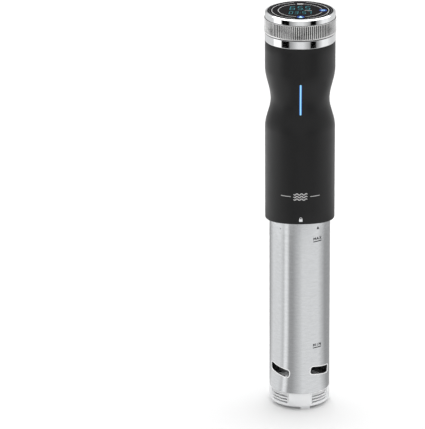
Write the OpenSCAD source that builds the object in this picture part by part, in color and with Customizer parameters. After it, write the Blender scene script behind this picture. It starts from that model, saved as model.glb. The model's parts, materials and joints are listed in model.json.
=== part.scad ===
// Sous vide circulator: a slim stick that clips to a pot, heats the water and pumps it round.
// Z is up along the stick's axis, the front faces -Y, and the feet stand on z = 0.

/* [Body shell] */
// Radius of the casing
body_r = 33.4; // [33.2:0.1:33.6]
// Height of the casing's lower rim, at the two sides
body_bottom = 191.4; // [190:0.2:193]
// Rise of the arched rim from the sides to the front and the back
rim_arch = 3.2; // [0:0.2:3.2]
// Height of the casing's upper edge
body_top = 368.9; // [367:0.1:369]
// Radius at the waist
waist_r = 28.35; // [28:0.05:30]
// Height of the waist's narrowest point
waist_z = 311; // [309:1:313]
// Height over which the waist widens upwards
waist_up = 32; // [28:1:34]
// Height over which the waist widens downwards
waist_down = 28; // [24:1:28]
// Wall of the casing
shell_wall = 2.4; // [2.2:0.1:2.4]

/* [Head] */
// Total height
total_h = 397.4; // [397:0.1:398]
// Outer radius of the knurled dial, over its ribs
dial_r = 34; // [33.8:0.1:34.4]
// Height of the dial
dial_h = 14.1; // [13.6:0.1:14.2]
// Number of ribs round the dial
dial_ribs = 110; // [60:1:120]
// Depth of the grooves between the ribs
rib_depth = 0.55; // [0.3:0.05:0.7]
// Radius of the display glass
lens_r = 31.3; // [31.1:0.1:31.5]

/* [Light bar] */
// Width of the light bar
bar_w = 2.6; // [2:0.1:4]
// Lower end of the light bar
bar_z0 = 302.8; // [300:0.2:306]
// Upper end of the light bar
bar_z1 = 333.8; // [328:0.2:336]

/* [Steel tube] */
// Outer radius of the tube
tube_r = 29.25; // [29.15:0.05:29.25]
// Wall of the tube
tube_wall = 0.8; // [0.6:0.1:0.8]
// Height of the water slots' middle
slot_z = 37.6; // [37:0.2:40]
// Height of a water slot
slot_h = 7.3; // [5:0.1:8]
// Length of a water slot across the tube
slot_w = 23.8; // [18:0.2:24]
// Slant of a water slot, in degrees
slot_tilt = 10; // [0:1:12]

/* [Bottom cap] */
// Height of the cap's upper edge
cap_top = 17.2; // [15:0.1:17.2]
// Height of the feet
foot_h = 3; // [2:0.5:3]
// Number of louvres in a window
louvres = 3; // [1:1:3]

/* [Heater and pump] */
// Radius of the heating coil, to the middle of its tube
coil_r = 16.4; // [16.3:0.1:16.5]
// Radius of the coil's tube
coil_tube_r = 3.1; // [2.5:0.1:3.2]
// Turns of the coil
coil_turns = 5; // [3:1:6]
// Outer radius of the impeller
impeller_r = 20; // [16:0.5:20]
// Blades of the impeller
blades = 6; // [3:1:8]

/* [Rear clip] */
// Width of the lever
lever_w = 34; // [33:0.5:36]
// Distance of the hinge pin behind the axis
pin_y = 42.5; // [42.4:0.1:42.8]
// Height of the hinge pin
pin_z = 262; // [261.8:0.1:262.2]
// Radius of the hinge pin
pin_r = 2; // [1.6:0.1:2]

/* [Hidden] */
$fn = 96;

eps = 0.01;
run = 0.06;             // radial clearance of a running fit
soft_black = "#232426";
plastic_black = "#1b1c1e";
board_green = "#2c6b4a";
steel = "#b9bcbe";
chrome = "#d9dbdd";
clear_grey = "#d7dadb";

// Head, from the trim ring upwards
trim_top = body_top + 7.7;
glide_top = trim_top + 0.7;
dial_z0 = glide_top + 0.1;
dial_z1 = dial_z0 + dial_h;
bezel_z0 = dial_z1 + 0.2;
core_r = 30.9;
core_wall = 2.5;
core_z0 = 344;
lens_t = 1.8;
lens_z0 = total_h - 0.2 - lens_t;
gasket_t = 0.5;
core_top = lens_z0 - gasket_t;
board_z = 386;
board_t = 1.6;
board_r = 28;
magnet_angles = [0:45:315];
magnet_place = 32.3;
magnet_r = 0.9;
magnet_h = 1.9;
key_r = 22;
key_angles = [-90, 0];
board_screw_r = 25.5;
head_screw_angles = [0, 180];
head_screw_r = 20;
gland_z = 356;
gland_r = 3.5;
gland_barrel_r = 5;

// Bulkhead and bayonet
tube_top = 204;
collar_in = 26.2;
collar_top = tube_top + 4;
socket_in = tube_r + 0.15;
socket_top = 214;
lug_arc = 24;
twist = 38;
flange_r = 25.9;
flange_z0 = 200;
plate_top = 217;
seal_minor = 1.2;
seal_r = flange_r - 0.95;
flange_screw_angles = [30, 150, 270];
flange_screw_r = 18;
shaft_r = 2.5;
bore_r = shaft_r + run;

// Electronics and motor
rail_x = 18;
rail_t = 3;
motor_r = 15;
motor_z0 = 232.5;
motor_top = 276;
motor_screw_r = 10;
rotor_shaft_r = 1.6;
shaft_top = 222;
board_bottom = 284;
board_height = 54;
board_w = 2 * rail_x - 0.2;

// Heater and sensors
coil_z0 = 84;
coil_rise = 96;
coil_end_z = coil_z0 + coil_rise;
pin_outer_r = 3.25;
riser_x = 9.7;
guide_z0 = 62;
guide_in = 4.2;
probe_place = [0, 22];
probe_z0 = 70;
electrode_places = [[-19, -11.5], [-22, -3]];
electrode_z0 = [60, 170];
electrode_r = 1.2;

// Pump and cap
impeller_z = 32;
housing_r = tube_r - tube_wall - 0.1;
window_arc = 46;
post_arc = 30;
foot_angles = [-78, 12, 102, 192];
screw_angles = [-99, -9, 81, 171];
cap_screw_r = 26.3;
quarters = [45, 135, 225, 315];

// Radius of the cylinder that arches the rim by rim_arch over the casing's width
arch_r = (body_r * body_r + rim_arch * rim_arch) / (2 * rim_arch);

// Rear clip
bracket_screw_z = [pin_z - 11, pin_z + 11];
bracket_r = 36.4;
ear_x0 = 11.5;
ear_x1 = 15;
lever_gap = 0.3;
spring_half = 6.2;

// Radius of the casing at height z: two cosine flanks meet at the waist
function flank(t) = (1 - cos(180 * min(1, max(0, t)))) / 2;
function casing_r(z) = waist_r + (body_r - waist_r)
    * (z > waist_z ? flank((z - waist_z) / waist_up) : flank((waist_z - z) / waist_down));

// Heights at which the casing's outline has a point
waist_steps = 12;
casing_z = concat(
    [body_bottom + 0.8],
    [for (i = [0:waist_steps]) waist_z - waist_down * (1 - i / waist_steps)],
    [for (i = [1:waist_steps]) waist_z + waist_up * i / waist_steps],
    [body_top]);
function casing_outline(inset) = [for (z = casing_z) [casing_r(z) - inset, z]];
function reversed(list) = [for (i = [len(list) - 1:-1:0]) list[i]];

// A tube with open ends
module ring(r_out, r_in, z0, z1) {
    translate([0, 0, z0])
        difference() {
            cylinder(r = r_out, h = z1 - z0);
            translate([0, 0, -eps]) cylinder(r = r_in, h = z1 - z0 + 2 * eps);
        }
}

module disc(r, z0, z1) {
    translate([0, 0, z0]) cylinder(r = r, h = z1 - z0);
}

// A slender upright rod or hole
module rod(r, z0, z1) {
    translate([0, 0, z0]) cylinder(r = r, h = z1 - z0, $fn = 32);
}

// The same shape at several angles, at one distance from the axis
module around(angles, distance) {
    for (a = angles)
        rotate([0, 0, a]) translate([distance, 0, 0]) children();
}

// A level hole or rod towards the back, at height z and x = 0
module rearward(r, y0, y1, z) {
    translate([0, y0, z]) rotate([-90, 0, 0]) cylinder(r = r, h = y1 - y0, $fn = 48);
}

// A block of ring between two angles, centred on an angle
module arc_block(r_out, r_in, z0, z1, middle, arc) {
    rotate([0, 0, middle - arc / 2])
        rotate_extrude(angle = arc)
            translate([r_in, z0]) square([r_out - r_in, z1 - z0]);
}

// A screw along +Z with its head on top
module screw(r, length, head_r, head_h) {
    cylinder(r = r, h = length + eps, $fn = 24);
    translate([0, 0, length]) cylinder(r = head_r, h = head_h, $fn = 32);
}

module slot_shape(w, h, corner) {
    square([w - 2 * corner, h], center = true);
    square([w, h - 2 * corner], center = true);
    for (x = [-1, 1], y = [-1, 1])
        translate([x * (w / 2 - corner), y * (h / 2 - corner)]) circle(r = corner, $fn = 32);
}

module stadium(w, z0, z1) {
    translate([-w / 2, z0 + w / 2]) square([w, z1 - z0 - w]);
    for (z = [z0 + w / 2, z1 - w / 2])
        translate([0, z]) circle(d = w, $fn = 48);
}

// The light bar's slot, cut from the front face inwards
module bar_prism(w, z0, z1) {
    translate([0, -15, 0]) rotate([90, 0, 0]) linear_extrude(25) stadium(w, z0, z1);
}

// A round wire along a path of points, whose rings stand across the path and hold the axis vector
function unit(v) = v / norm(v);
function path_dir(p, i) = unit(p[min(i + 1, len(p) - 1)] - p[max(i - 1, 0)]);
module wire(path, r, axis, sides = 10) {
    n = len(path);
    points = [for (i = [0:n - 1])
        let (t = path_dir(path, i), u = unit(cross(t, axis)), v = cross(t, u))
            for (k = [0:sides - 1]) path[i] + r * (cos(360 * k / sides) * u + sin(360 * k / sides) * v)];
    faces = concat(
        [[for (k = [0:sides - 1]) k]],
        [for (i = [0:n - 2], k = [0:sides - 1])
            [i * sides + k, (i + 1) * sides + k,
             (i + 1) * sides + (k + 1) % sides, i * sides + (k + 1) % sides]],
        [[for (k = [sides - 1:-1:0]) (n - 1) * sides + k]]);
    polyhedron(points, faces);
}

// ---- Head ----

module body_shell() {
    color(soft_black)
        difference() {
            rotate_extrude()
                polygon(concat(
                    [[body_r - shell_wall, body_bottom], [body_r - 0.7, body_bottom]],
                    casing_outline(0),
                    reversed(casing_outline(shell_wall))));
            bar_prism(bar_w + 0.1, bar_z0 - 0.05, bar_z1 + 0.05);
            rearward(gland_barrel_r, 20, 40, gland_z);
            for (z = bracket_screw_z)
                rearward(1.5, 20, 40, z);
            // the rim's arch: a wide cylinder across the casing
            translate([0, 0, body_bottom + rim_arch - arch_r])
                rotate([90, 0, 0]) cylinder(r = arch_r, h = 3 * body_r, center = true, $fn = 720);
        }
}

module lower_trim_ring() {
    color(chrome)
        rotate_extrude()
            polygon([[core_r, body_top], [body_r - 0.3, body_top], [body_r, body_top + 0.3],
                [body_r, trim_top - 0.5], [body_r - 0.5, trim_top], [core_r, trim_top]]);
}

module head_core() {
    color(plastic_black)
        difference() {
            union() {
                ring(core_r, core_r - core_wall, core_z0, core_top);
                ring(core_r - 1, board_r - 5, board_z - 2, board_z);
                disc(core_r - 1, core_z0, core_z0 + 3);
            }
            disc(13, core_z0 - eps, core_z0 + 3 + eps);
            rearward(gland_barrel_r, 20, 40, gland_z);
            around(head_screw_angles, head_screw_r) rod(1.6, core_z0 - 1, core_z0 + 4);
            around(quarters, board_screw_r) rod(1.1, board_z - 3, board_z + 1);
        }
}

module dial_glide() {
    color(plastic_black) ring(33, 31.1, trim_top, glide_top);
}

// The dial: a ring whose outline has one rib every 360 / dial_ribs degrees
module dial_ring() {
    step = 360 / dial_ribs;
    outline = [for (i = [0:dial_ribs - 1], k = [0:3])
        let (a = step * (i + k / 4), r = dial_r - (k == 0 || k == 1 ? 0 : rib_depth))
            [r * cos(a), r * sin(a)]];
    edge = 1.1;
    color(chrome)
        difference() {
            union() {
                disc(dial_r - rib_depth - 0.1, dial_z0, dial_z1);
                translate([0, 0, dial_z0 + edge]) linear_extrude(dial_h - 2 * edge) polygon(outline);
            }
            disc(core_r + run, dial_z0 - eps, dial_z1 + eps);
            around(magnet_angles, magnet_place) rod(magnet_r, dial_z0 - eps, dial_z0 + magnet_h + 0.1);
        }
}

module dial_magnets() {
    color("#8a8d92")
        around(magnet_angles, magnet_place) rod(magnet_r, dial_z0, dial_z0 + magnet_h);
}

module display_bezel() {
    color(chrome)
        rotate_extrude()
            polygon([[core_r, bezel_z0], [33.2, bezel_z0], [33.35, bezel_z0 + 0.2],
                [33.35, total_h - 2.6], [32.1, total_h], [lens_r + 0.05, total_h],
                [lens_r + 0.05, lens_z0 - gasket_t], [core_r, lens_z0 - gasket_t]]);
}

module display_lens() {
    color("#0b0d10") disc(lens_r, lens_z0, lens_z0 + lens_t);
}

module lens_gasket() {
    color("#111214") ring(core_r, core_r - core_wall, core_top, lens_z0);
}

module display_board() {
    color(board_green)
        difference() {
            disc(board_r, board_z, board_z + board_t);
            around(quarters, board_screw_r) rod(1.3, board_z - 1, board_z + 3);
        }
}

module display_screws() {
    color(steel)
        around(quarters, board_screw_r)
            translate([0, 0, board_z + board_t - 3.4]) screw(1, 3.4, 1.9, 1.2);
}

module digit_module() {
    color("#17181b")
        translate([-13, -14, board_z + board_t]) cube([26, 30, lens_z0 - board_z - board_t - 1]);
}

module touch_electrodes() {
    color("#3b3d41")
        around(key_angles, key_r) rod(3, board_z + board_t, lens_z0 - 0.1);
}

module buzzer() {
    color(plastic_black) translate([-12, 0, board_z - 6]) cylinder(r = 6, h = 6, $fn = 48);
}

module light_bar() {
    color("#9fe3ff")
        intersection() {
            bar_prism(bar_w, bar_z0, bar_z1);
            rotate_extrude()
                polygon(concat(casing_outline(0.05), reversed(casing_outline(shell_wall))));
        }
}

module light_bar_board() {
    color(board_green) translate([-4, -24.6, bar_z0 - 4]) cube([8, 1.2, bar_z1 - bar_z0 + 8]);
}

// ---- Frame and electronics ----

module inner_chassis() {
    color("#5c6066")
        difference() {
            union() {
                disc(body_r - shell_wall - 0.2, socket_top, plate_top);
                for (x = [-rail_x - rail_t, rail_x])
                    translate([x, -7, plate_top - eps])
                        cube([rail_t, 14, core_z0 - plate_top - 3 + 2 * eps]);
                disc(25, core_z0 - 3, core_z0);
            }
            disc(8, socket_top - eps, plate_top + eps);
            disc(12, core_z0 - 3 - eps, core_z0 + eps);
            around(head_screw_angles, head_screw_r) rod(1.3, core_z0 - 8, core_z0 + 1);
            around(flange_screw_angles, flange_screw_r) rod(1.6, socket_top - 1, plate_top + 1);
        }
}

module head_screws() {
    color(steel)
        around(head_screw_angles, head_screw_r)
            translate([0, 0, core_z0 - 7]) screw(1.25, 10, 2.6, 1.8);
}

// An upright board between the rails, whose front face is at y
module upright_board(y) {
    color(board_green)
        translate([-board_w / 2, y, board_bottom]) cube([board_w, board_t, board_height]);
}

module power_board() {
    upright_board(9);
}

module control_board() {
    upright_board(-10.6);
}

module mains_transformer() {
    color("#3d4045") translate([-15, -4, board_bottom + 3]) cube([17, 13, 20]);
}

module filter_capacitors() {
    color("#4a5e86")
        for (z = [6, 17, 28])
            translate([9.5, 9, board_bottom + z]) rotate([90, 0, 0]) cylinder(r = 4.5, h = 13, $fn = 48);
}

module triac_heat_sink() {
    color("#a9adb1") {
        translate([-14, 10.6, board_bottom + 4]) cube([28, 1.6, 30]);
        for (x = [-14:6.6:13])
            translate([x, 12.2 - eps, board_bottom + 4]) cube([1.5, 5, 30]);
    }
}

module relay() {
    color("#1f3b57") translate([-15, -3, board_bottom + 27]) cube([12, 12, 16]);
}

module terminal_block() {
    color("#c9ccce") translate([-9, 1, board_bottom + 45]) cube([18, 8, 8]);
}

module motor_plate() {
    color(steel)
        difference() {
            intersection() {
                disc(20, motor_z0 - 2.5, motor_z0);
                translate([-rail_x, -20, 0]) cube([2 * rail_x, 40, total_h]);
            }
            disc(3.4, motor_z0 - 3, motor_z0 + 1);
            around([0, 180], motor_screw_r) rod(1.6, motor_z0 - 3, motor_z0 + 1);
        }
}

module motor_can() {
    color("#9a9da1")
        difference() {
            disc(motor_r, motor_z0, motor_top);
            disc(motor_r - 1.2, motor_z0 + 3, motor_top - 2);
            disc(rotor_shaft_r + run, motor_z0 - 1, motor_z0 + 4);
            around([0, 180], motor_screw_r) rod(1.25, motor_z0 - 1, motor_z0 + 2.5);
        }
}

module motor_screws() {
    color(steel)
        around([0, 180], motor_screw_r)
            translate([0, 0, motor_z0 + 2]) mirror([0, 0, 1]) screw(1.25, 4.5, 2.4, 1.5);
}

module motor_rotor() {
    color("#a5673a") {
        disc(motor_r - 3, motor_z0 + 8, motor_top - 8);
        disc(rotor_shaft_r, shaft_top, motor_top - 2.5);
    }
}

module shaft_coupling() {
    color("#6b4a3a")
        difference() {
            disc(5, plate_top + 0.8, motor_z0 - 4.2);
            disc(shaft_r, plate_top, shaft_top);
            disc(rotor_shaft_r, shaft_top - eps, motor_z0);
        }
}

module drive_shaft() {
    color(steel) disc(shaft_r, impeller_z - 3, shaft_top);
}

// ---- Bulkhead, heater and sensors ----

module heater_flange() {
    color(steel)
        difference() {
            union() {
                disc(flange_r, flange_z0, flange_z0 + 6);
                disc(24, flange_z0 + 6 - eps, socket_top);
            }
            disc(6, flange_z0 - eps, socket_top + eps);
            rotate_extrude() translate([seal_r, flange_z0 + 3]) circle(r = seal_minor, $fn = 32);
            around(flange_screw_angles, flange_screw_r) rod(1.25, socket_top - 6, socket_top + 1);
            for (x = [-coil_r, riser_x])
                translate([x, 0, 0]) rod(pin_outer_r, flange_z0 - 1, socket_top + 1);
            translate([probe_place.x, probe_place.y, flange_z0 - 1]) cylinder(r = 2, h = 3, $fn = 48);
            for (p = electrode_places)
                translate([p.x, p.y, flange_z0 - 1]) cylinder(r = electrode_r, h = 3, $fn = 32);
        }
}

module flange_screws() {
    color(steel)
        around(flange_screw_angles, flange_screw_r)
            translate([0, 0, socket_top - 5]) screw(1.25, 8, 2.6, 1.8);
}

module flange_seal() {
    color("#2a2b2d")
        rotate_extrude() translate([seal_r, flange_z0 + 3]) circle(r = seal_minor - eps, $fn = 32);
}

module shaft_seal() {
    color("#2a2b2d") ring(6, bore_r, flange_z0, flange_z0 + 6);
}

module upper_bearing() {
    color(chrome) ring(6, bore_r, flange_z0 + 6, flange_z0 + 11);
}

module shaft_guide() {
    color(steel) ring(5.5, guide_in, guide_z0, flange_z0);
}

module lower_bushing() {
    color("#b08a4a") ring(guide_in, bore_r, guide_z0, guide_z0 + 10);
}

module heater_coil() {
    per_turn = 24;
    last = coil_turns * per_turn + per_turn / 2;
    path = [for (i = [0:last])
        let (a = 360 * i / per_turn)
            [coil_r * cos(a), coil_r * sin(a), coil_z0 + coil_rise * i / last]];
    color("#8f8a84") wire(path, coil_tube_r, [0, 0, 1]);
}

// The coil's cold ends: one rises from the upper end, the other bends inwards from the lower end
// and rises inside the coil
module heater_pins() {
    pin_top = socket_top - 2;
    color(steel) {
        translate([-coil_r, 0, coil_end_z]) cylinder(r = pin_outer_r, h = pin_top - coil_end_z, $fn = 48);
        translate([riser_x, 0, coil_z0]) cylinder(r = pin_outer_r, h = pin_top - coil_z0, $fn = 48);
        translate([riser_x, 0, coil_z0]) sphere(r = pin_outer_r, $fn = 48);
        translate([riser_x, 0, coil_z0])
            rotate([0, 90, 0]) cylinder(r = coil_tube_r - 0.05, h = coil_r - riser_x, $fn = 48);
    }
}

module temperature_probe() {
    color(steel)
        translate([probe_place.x, probe_place.y, 0]) {
            disc(2, probe_z0, flange_z0 + 2);
            translate([0, 0, probe_z0]) sphere(r = 2, $fn = 32);
        }
}

module level_electrodes() {
    color(steel)
        for (i = [0, 1])
            translate([electrode_places[i].x, electrode_places[i].y, electrode_z0[i]])
                cylinder(r = electrode_r, h = flange_z0 + 2 - electrode_z0[i], $fn = 32);
}

// A ring with three L-shaped windows: an upright entry and a level run for each lug
module bayonet_socket() {
    entry = lug_arc + 3;
    color(plastic_black)
        difference() {
            ring(body_r - shell_wall, socket_in, body_bottom + rim_arch + 0.4, socket_top);
            for (a = [90, 210, 330]) {
                arc_block(32, 29, body_bottom, tube_top + 1, a, entry);
                arc_block(32, 29, tube_top - 0.2, collar_top + 0.4, a - twist / 2, entry + twist + 1);
            }
        }
}

// ---- Tube, pump housing and cap ----

module steel_tube() {
    color(steel)
        difference() {
            ring(tube_r, tube_r - tube_wall, cap_top, tube_top);
            for (a = quarters)
                rotate([0, 0, a])
                    translate([20, 0, slot_z])
                        rotate([90, 0, 90])
                            linear_extrude(15)
                                rotate([0, 0, -slot_tilt]) slot_shape(slot_w, slot_h, 2.4);
        }
}

module tube_collar() {
    color(plastic_black) {
        ring(tube_r - tube_wall, collar_in, body_bottom, tube_top);
        ring(tube_r - 0.1, collar_in, tube_top, collar_top);
        for (a = [90, 210, 330])
            arc_block(30.6, 29, tube_top + 0.4, collar_top - 0.4, a, lug_arc);
    }
}

module impeller() {
    hub_r = 5;
    color("#34363a")
        difference() {
            union() {
                disc(hub_r, impeller_z, impeller_z + 14);
                intersection() {
                    ring(impeller_r, hub_r - 1, impeller_z, impeller_z + 12);
                    for (i = [0:blades - 1])
                        rotate([0, 0, 360 * i / blades])
                            translate([0, 0, impeller_z + 6]) rotate([35, 0, 0])
                                translate([0, -0.8, -12]) cube([impeller_r + 1, 1.6, 24]);
                }
            }
            disc(shaft_r, impeller_z - 1, impeller_z + 15);
        }
}

// The pump housing: a lower ring, four posts between the slots, and a throat above them
module impeller_housing() {
    z0 = cap_top + 4.2;
    post_z = 26;
    throat_z = 50;
    throat_top = throat_z + 8;
    inner_r = 25.2;
    color("#26282b")
        difference() {
            rotate_extrude()
                polygon([[inner_r - 1, z0], [housing_r, z0], [housing_r, throat_top], [21.5, throat_top],
                    [21.5, throat_z], [inner_r, throat_z], [inner_r, post_z], [inner_r - 1, post_z]]);
            for (a = [0:90:270])
                arc_block(housing_r + 1, 20, post_z + 1, throat_z - 1, a + 40, 90 - post_arc);
            around(screw_angles, cap_screw_r) rod(1, z0 - 1, z0 + 9);
        }
}

module bottom_cap() {
    cap_r = tube_r - 0.05;
    wall = 2.2;
    floor_top = foot_h + 2;
    edge = 1.5;
    color(clear_grey)
        difference() {
            union() {
                rotate_extrude()
                    polygon(concat(
                        [[0, foot_h], [cap_r - edge, foot_h]],
                        [for (a = [-75:15:0])
                            [cap_r - edge + edge * cos(a), foot_h + edge + edge * sin(a)]],
                        [[cap_r, cap_top], [housing_r, cap_top], [housing_r, cap_top + 4],
                         [cap_r - wall, cap_top + 4], [cap_r - wall, floor_top], [0, floor_top]]));
                disc(6, 0, foot_h + eps);
                around(screw_angles, cap_screw_r - 0.7) rod(2.6, foot_h + 1, cap_top);
            }
            for (a = quarters) {
                arc_block(31, cap_r - 0.45, foot_h + 2.2, cap_top - 1.2, a, window_arc);
                for (z = [foot_h + 3:3:foot_h + 3 * louvres])
                    arc_block(31, cap_r - wall - 1, z, z + 1.7, a, window_arc - 6);
            }
            for (i = [0:11])
                rotate([0, 0, 30 * i]) translate([9, -0.9, foot_h - 1]) cube([10, 1.8, 4]);
            around(screw_angles, cap_screw_r) {
                rod(1.2, foot_h - 1, cap_top + 5);
                rod(2.1, foot_h - 1, foot_h + 2);
            }
        }
}

module cap_screws() {
    color(steel)
        around(screw_angles, cap_screw_r)
            translate([0, 0, 27]) mirror([0, 0, 1]) screw(0.98, 22, 1.9, 1.6);
}

module foot_pads() {
    color("#c9cccd")
        for (a = foot_angles)
            arc_block(26.6, 21.4, 0, foot_h, a, 21);
}

// ---- Back of the casing ----

module cord_gland() {
    color(plastic_black)
        translate([0, 25, gland_z])
            rotate([-90, 0, 0])
                difference() {
                    union() {
                        cylinder(r = gland_barrel_r, h = 11);
                        translate([0, 0, 8.6]) cylinder(r1 = 6.8, r2 = 6.2, h = 2.4);
                    }
                    translate([0, 0, -1]) cylinder(r = gland_r, h = 13);
                }
}

module clip_bracket() {
    color(plastic_black)
        difference() {
            union() {
                intersection() {
                    translate([-ear_x1, 25, pin_z - 16]) cube([2 * ear_x1, 12, 32]);
                    ring(bracket_r, body_r, pin_z - 16, pin_z + 16);
                }
                for (x = [-ear_x1, ear_x0])
                    translate([x, 0, 0])
                        rotate([90, 0, 90])
                            linear_extrude(ear_x1 - ear_x0) {
                                translate([pin_y, pin_z]) circle(r = 5);
                                polygon([[29.5, pin_z - 9], [pin_y, pin_z - 5],
                                    [pin_y, pin_z + 5], [29.5, pin_z + 9]]);
                            }
            }
            disc(body_r, pin_z - 20, pin_z + 20);
            translate([-20, pin_y, pin_z]) rotate([0, 90, 0]) cylinder(r = pin_r, h = 40);
            for (z = bracket_screw_z)
                rearward(1.5, 20, 40, z);
        }
}

module bracket_screws() {
    color(steel)
        for (z = bracket_screw_z)
            translate([0, bracket_r - 8.4, z]) rotate([-90, 0, 0]) screw(1.45, 8.5, 2.8, 1.2);
}

module clip_pin() {
    color(steel)
        translate([-ear_x1, pin_y, pin_z]) rotate([0, 90, 0]) cylinder(r = pin_r, h = 2 * ear_x1);
}

module clip_spring() {
    turns = 6;
    per_turn = 16;
    mean_r = 3.4;
    half = 4.6;
    last = turns * per_turn + per_turn / 2;
    coil = [for (i = [0:last])
        let (a = 180 + 360 * i / per_turn)
            [-half + 2 * half * i / last, pin_y + mean_r * cos(a), pin_z + mean_r * sin(a)]];
    low_leg = [[-half, pin_y - mean_r, pin_z + 9]];
    high_leg = [[half, pin_y + mean_r, pin_z + 9]];
    color("#c4c6c8") wire(concat(low_leg, coil, high_leg), 0.45, [1, 0, 0], 8);
}

// The lever's outline from the side, as [distance behind the axis, height]: the back from the
// thumb end down to the jaw's tip, then the side that faces the casing and the pot, upwards
lever_back = [[46.6, 342.5], [48.8, 341.5], [50.2, 338], [49.9, 330], [48.4, 319], [46.6, 308],
    [46.2, 298], [47.4, 286], [49.6, 275], [50.4, 265], [50.3, 256], [49, 243], [46.6, 228],
    [43.9, 212], [42.2, 200], [42.3, 190], [44.6, 178], [47.8, 166], [50, 154], [50.5, 144],
    [49, 135.5], [45.5, 130.5], [41, 129]];
lever_front = [[35.5, 129.4], [33.4, 131], [33, 133], [33, 150], [34.2, 153.5], [36.6, 160], [37.8, 170],
    [37.6, 182], [37, 196], [37.2, 215], [38, 235], [38.4, 250], [38.4, 274], [39.8, 284],
    [40, 298], [41, 310], [43, 322], [44, 332], [44.4, 339], [45.2, 341.6]];

module clip_lever() {
    pocket_y = 48;
    color(soft_black)
        difference() {
            translate([-lever_w / 2, 0, 0])
                rotate([90, 0, 90]) linear_extrude(lever_w) polygon(concat(lever_back, lever_front));
            // pockets for the bracket's two ears
            for (x = [-ear_x1 - lever_gap, ear_x0 - lever_gap])
                translate([x, 30, pin_z - 12]) cube([ear_x1 - ear_x0 + 2 * lever_gap, pocket_y - 30, 24]);
            // room for the spring and the screw heads
            translate([-spring_half, 30, pin_z - 15]) cube([2 * spring_half, pocket_y - 30, 30]);
            translate([-lever_w, pin_y, pin_z])
                rotate([0, 90, 0]) cylinder(r = pin_r + run, h = lever_w + ear_x0);
        }
}

module jaw_pad() {
    color("#3a3c40") translate([-12, 30.4, 133.5]) cube([24, 2.6, 16]);
}

body_shell();
lower_trim_ring();
head_core();
dial_glide();
display_bezel();
display_lens();
lens_gasket();
display_board();
digit_module();
touch_electrodes();
buzzer();
display_screws();
light_bar();
light_bar_board();
inner_chassis();
head_screws();
power_board();
control_board();
mains_transformer();
filter_capacitors();
triac_heat_sink();
relay();
terminal_block();
motor_can();
motor_plate();
motor_screws();
motor_rotor();
shaft_coupling();
drive_shaft();
impeller();
heater_flange();
flange_screws();
flange_seal();
shaft_seal();
upper_bearing();
shaft_guide();
lower_bushing();
heater_coil();
heater_pins();
temperature_probe();
level_electrodes();
bayonet_socket();
steel_tube();
tube_collar();
impeller_housing();
bottom_cap();
cap_screws();
foot_pads();
cord_gland();
clip_bracket();
bracket_screws();
clip_pin();
clip_spring();
clip_lever();
jaw_pad();
dial_ring();
dial_magnets();
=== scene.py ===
"""Sous vide circulator: the visible pieces and their finishes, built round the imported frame.

Lengths are metres. A bearing is an angle about the stick's axis seen from above, 0 at the front
(-Y) and growing towards the right hand side (+X).
"""

import json
import logging
import math
from dataclasses import dataclass
from enum import Enum
from typing import Callable, Optional, Sequence, Union

import bmesh
import bpy
import numpy as np
from mathutils import Matrix, Vector

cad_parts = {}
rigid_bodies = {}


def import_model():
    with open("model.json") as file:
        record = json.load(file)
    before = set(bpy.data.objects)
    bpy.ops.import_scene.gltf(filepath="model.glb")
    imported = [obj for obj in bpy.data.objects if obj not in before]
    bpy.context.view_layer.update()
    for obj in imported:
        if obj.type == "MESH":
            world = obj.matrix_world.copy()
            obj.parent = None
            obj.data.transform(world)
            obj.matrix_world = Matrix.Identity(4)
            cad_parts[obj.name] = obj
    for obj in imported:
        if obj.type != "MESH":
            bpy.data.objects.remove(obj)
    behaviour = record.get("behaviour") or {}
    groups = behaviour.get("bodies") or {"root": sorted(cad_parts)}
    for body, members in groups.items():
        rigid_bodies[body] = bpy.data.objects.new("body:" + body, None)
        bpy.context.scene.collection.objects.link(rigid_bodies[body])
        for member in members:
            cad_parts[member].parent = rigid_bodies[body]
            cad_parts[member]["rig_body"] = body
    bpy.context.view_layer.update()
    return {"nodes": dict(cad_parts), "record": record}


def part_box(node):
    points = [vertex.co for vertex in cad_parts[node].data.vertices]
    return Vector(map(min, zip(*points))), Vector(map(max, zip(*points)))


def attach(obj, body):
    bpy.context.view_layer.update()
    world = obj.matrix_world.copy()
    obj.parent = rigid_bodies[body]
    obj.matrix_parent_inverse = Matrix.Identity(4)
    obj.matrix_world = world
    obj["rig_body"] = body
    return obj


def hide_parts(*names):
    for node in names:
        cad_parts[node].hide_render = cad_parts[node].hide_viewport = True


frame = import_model()

LOG = logging.getLogger("circulator")
MM = 0.001
SUNK = -0.05 * MM      # underside of a printed mark, below the surface that carries it
PRINTED = 0.03 * MM    # top of a printed mark
RAISED = 0.05 * MM     # top of a mark on a curve so tight that a flat one would sink
Colour = tuple[float, float, float]
Number = Union[float, int]


# ---------------------------------------------------------------- shader maths

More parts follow.
